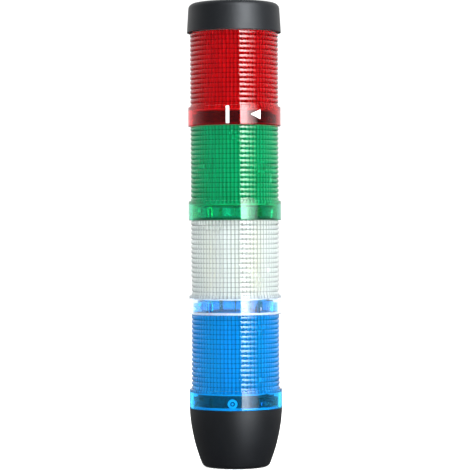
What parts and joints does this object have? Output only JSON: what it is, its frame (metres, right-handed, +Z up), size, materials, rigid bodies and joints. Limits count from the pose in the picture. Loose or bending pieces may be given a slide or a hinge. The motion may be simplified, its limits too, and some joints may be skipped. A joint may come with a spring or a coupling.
{
  "type": "stack light",
  "caption": "Signal tower: a black bowl-shaped base, ribbed red, green, clear and blue lens modules twisted together by bayonets, and a black cap.",
  "frame": {"origin": "centre of the base's flat underside", "axes": "+Z up the tower's axis, -Y towards the front that the picture shows, +X to its right"},
  "size_m": [0.0406, 0.0406, 0.1996],
  "materials": {
    "black_plastic": "matt, finely textured",
    "black_rubber": "matt",
    "seal_rubber": "matt, translucent silicone",
    "grey_plastic": "satin",
    "white_plastic": "satin",
    "circuit_board": "white solder mask",
    "led": "cast resin",
    "contact_brass": "bright",
    "screw_steel": "zinc plated",
    "blue_lens_plastic": "clear-moulded blue plastic, polished",
    "clear_lens_plastic": "clear-moulded colourless plastic, polished",
    "green_lens_plastic": "clear-moulded green plastic, polished",
    "red_lens_plastic": "clear-moulded red plastic, polished"
  },
  "bodies": {
    "base": {"base_housing": "black_plastic", "cable_grommet": "black_rubber", "base_seal": "seal_rubber", "base_contact_plate": "grey_plastic", "base_contact_pins": "contact_brass", "terminal_block": "grey_plastic", "terminal_clamps": "contact_brass", "terminal_screws": "screw_steel", "block_screws": "screw_steel"},
    "blue_module": {"blue_lens": "blue_lens_plastic", "blue_seal": "seal_rubber", "blue_led_carrier": "white_plastic", "blue_contact_tracks": "contact_brass", "blue_led_board_1": "circuit_board", "blue_led_board_2": "circuit_board", "blue_led_board_3": "circuit_board", "blue_leds": "led", "blue_contact_plate": "white_plastic", "blue_contact_pins": "contact_brass"},
    "clear_module": {"clear_lens": "clear_lens_plastic", "clear_seal": "seal_rubber", "clear_led_carrier": "white_plastic", "clear_contact_tracks": "contact_brass", "clear_led_board_1": "circuit_board", "clear_led_board_2": "circuit_board", "clear_led_board_3": "circuit_board", "clear_leds": "led", "clear_contact_plate": "white_plastic", "clear_contact_pins": "contact_brass"},
    "green_module": {"green_lens": "green_lens_plastic", "green_seal": "seal_rubber", "green_led_carrier": "white_plastic", "green_contact_tracks": "contact_brass", "green_led_board_1": "circuit_board", "green_led_board_2": "circuit_board", "green_led_board_3": "circuit_board", "green_leds": "led", "green_contact_plate": "white_plastic", "green_contact_pins": "contact_brass"},
    "red_module": {"red_lens": "red_lens_plastic", "red_seal": "seal_rubber", "red_led_carrier": "white_plastic", "red_contact_tracks": "contact_brass", "red_led_board_1": "circuit_board", "red_led_board_2": "circuit_board", "red_led_board_3": "circuit_board", "red_leds": "led", "red_contact_plate": "white_plastic", "red_contact_pins": "contact_brass"},
    "cap": {"cap": "black_plastic"}
  },
  "joints": [
    {"name": "blue_twist", "type": "hinge", "parent": "base", "child": "blue_module", "pos_m": [0, 0, 0.0253], "axis": [0, 0, 1], "range_deg": [0, 30]},
    {"name": "clear_twist", "type": "hinge", "parent": "blue_module", "child": "clear_module", "pos_m": [0, 0, 0.0657], "axis": [0, 0, 1], "range_deg": [0, 30]},
    {"name": "green_twist", "type": "hinge", "parent": "clear_module", "child": "green_module", "pos_m": [0, 0, 0.1061], "axis": [0, 0, 1], "range_deg": [0, 30]},
    {"name": "red_twist", "type": "hinge", "parent": "green_module", "child": "red_module", "pos_m": [0, 0, 0.1465], "axis": [0, 0, 1], "range_deg": [0, 30]},
    {"name": "cap_twist", "type": "hinge", "parent": "red_module", "child": "cap", "pos_m": [0, 0, 0.1869], "axis": [0, 0, 1], "range_deg": [0, 30]}
  ]
}
